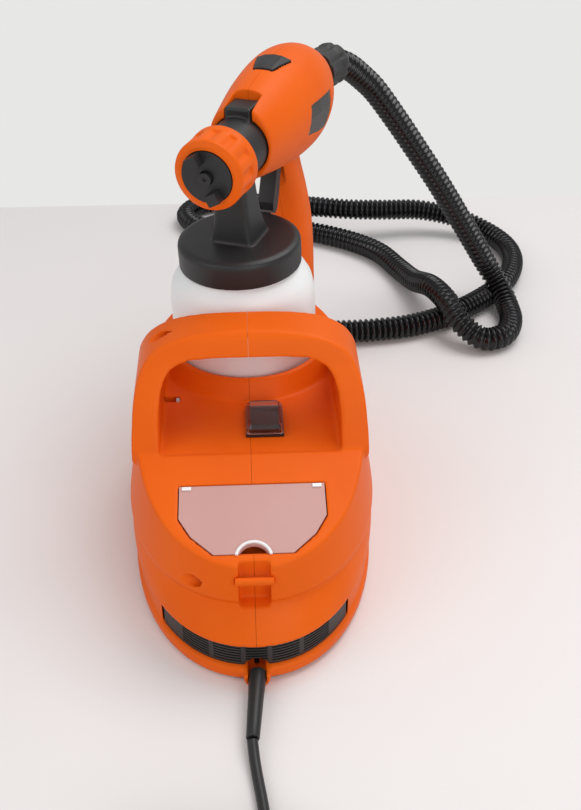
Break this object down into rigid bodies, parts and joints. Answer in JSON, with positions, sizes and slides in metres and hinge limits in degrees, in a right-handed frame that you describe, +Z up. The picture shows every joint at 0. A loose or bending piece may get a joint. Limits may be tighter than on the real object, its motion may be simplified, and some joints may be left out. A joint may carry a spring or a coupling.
{
  "type": "turbine paint sprayer",
  "caption": "Two-part moulded floor turbine unit with a carrying handle, cup cradle, ribbed air hose and a cup-fed spray gun standing in it.",
  "frame": {"origin": "centre of the floor unit's underside, where its base pan meets the table", "axes": "+Z up, +Y from the unit's nose with the mains lead to its rear with the hose port, +X to the right when seen from the nose, X = 0 on the seam of the two shells"},
  "size_m": [0.3808, 0.9189, 0.3043],
  "materials": {
    "orange_plastic": "satin",
    "black_plastic": "fine grain",
    "grille_plastic": "fine grain",
    "hose_plastic": "gloss",
    "rubber": "matt",
    "foam": "open cell",
    "frosted_plastic": "frosted",
    "clear_plastic": "clear",
    "cup_plastic": "translucent",
    "badge_plastic": "satin",
    "steel": "satin",
    "aluminium": "satin"
  },
  "bodies": {
    "unit": {"left_shell": "orange_plastic", "right_shell": "orange_plastic", "base_pan": "black_plastic", "foot_1": "rubber", "base_screw_1": "steel", "foot_2": "rubber", "base_screw_2": "steel", "foot_3": "rubber", "base_screw_3": "steel", "foot_4": "rubber", "base_screw_4": "steel", "shell_screw_handle": "steel", "shell_screw_deck": "steel", "shell_screw_ledge": "steel", "strap_bar": "orange_plastic", "vent_grille": "grille_plastic", "air_filter": "foam", "accessory_bin": "orange_plastic", "switch_frame": "black_plastic", "switch_body": "black_plastic", "switch_cover": "clear_plastic", "turbine_housing": "black_plastic", "motor_can": "steel", "motor_stator": "steel", "front_bearing": "steel", "rear_bearing_plate": "steel", "outlet_duct": "black_plastic", "motor_mount": "rubber", "turbine_mount": "rubber", "air_hose": "hose_plastic", "strain_relief": "rubber", "cord_clamp": "black_plastic", "power_cord": "rubber", "power_cord_coil": "rubber", "mains_plug": "rubber"},
    "rotor": {"rotor_shaft": "steel", "impeller_1": "aluminium", "impeller_2": "aluminium"},
    "rocker": {"switch_rocker": "black_plastic"},
    "lid": {"accessory_lid": "frosted_plastic"},
    "gun": {"gun_left_shell": "orange_plastic", "gun_right_shell": "orange_plastic", "side_badge": "badge_plastic", "grip_strip": "rubber", "latch_spring": "steel", "trigger_pin": "steel", "gun_screw": "steel", "spray_head": "black_plastic", "lid_gasket": "rubber", "suction_tube": "frosted_plastic", "fluid_nozzle": "black_plastic", "needle_spring": "steel"},
    "trigger": {"trigger": "black_plastic"},
    "needle": {"needle": "steel"},
    "latch": {"latch_button": "black_plastic"},
    "nut": {"nozzle_nut": "orange_plastic"},
    "air_cap": {"air_cap": "black_plastic"},
    "cup": {"paint_cup": "cup_plastic"},
    "gun_collar": {"hose_collar_gun": "grille_plastic"},
    "unit_collar": {"hose_collar_unit": "grille_plastic"}
  },
  "joints": [
    {"name": "gun_lift", "type": "slide", "parent": "unit", "child": "gun", "axis": [0, 0, 1], "range_m": [0, 0.12], "deforming": ["air_hose"]},
    {"name": "rotor_spin", "type": "hinge", "parent": "unit", "child": "rotor", "pos_m": [0, 0, 0.043], "axis": [0, 1, 0], "continuous": true},
    {"name": "switch_rock", "type": "hinge", "parent": "unit", "child": "rocker", "pos_m": [0.01, -0.0115, 0.0985], "axis": [1, 0, 0], "range_deg": [0, 9]},
    {"name": "lid_open", "type": "hinge", "parent": "unit", "child": "lid", "pos_m": [0, -0.0713, 0.0969], "axis": [-1, 0, 0], "range_deg": [0, 100]},
    {"name": "trigger_pull", "type": "hinge", "parent": "gun", "child": "trigger", "pos_m": [0.02211, 0.14528, 0.23532], "axis": [0.9166, -0.3987, 0.0304], "range_deg": [0, 12], "stiffness_Nm_per_rad": 0.4, "springref_deg": -6.88},
    {"name": "needle_retract", "type": "slide", "parent": "gun", "child": "needle", "axis": [0.3985, 0.9171, 0.0132], "range_m": [0, 0.008]},
    {"name": "latch_press", "type": "slide", "parent": "gun", "child": "latch", "axis": [0.0332, 0, -0.9995], "range_m": [0, 0.0015], "stiffness_N_per_m": 250, "springref_m": -0.002},
    {"name": "nut_turn", "type": "hinge", "parent": "gun", "child": "nut", "pos_m": [-0.01826, 0.05449, 0.2615], "axis": [0.3985, 0.9171, 0.0132], "range_deg": [0, 120]},
    {"name": "air_cap_turn", "type": "hinge", "parent": "gun", "child": "air_cap", "pos_m": [-0.02304, 0.04348, 0.26134], "axis": [0.3985, 0.9171, 0.0132], "range_deg": [0, 90]},
    {"name": "cup_turn", "type": "hinge", "parent": "gun", "child": "cup", "pos_m": [-0.0033, 0.082, 0.17144], "axis": [-0.0332, 0, 0.9995], "range_deg": [0, 120]},
    {"name": "gun_collar_turn", "type": "hinge", "parent": "gun", "child": "gun_collar", "pos_m": [0.05747, 0.22873, 0.26401], "axis": [0.3998, 0.912, -0.0913], "range_deg": [0, 30]},
    {"name": "unit_collar_turn", "type": "hinge", "parent": "unit", "child": "unit_collar", "pos_m": [0, 0.16, 0.042], "axis": [0, 1, 0], "range_deg": [0, 30]}
  ],
  "couplings": [
    {"joint": "needle_retract", "follows": "trigger_pull", "m_per_rad": 0.038}
  ]
}
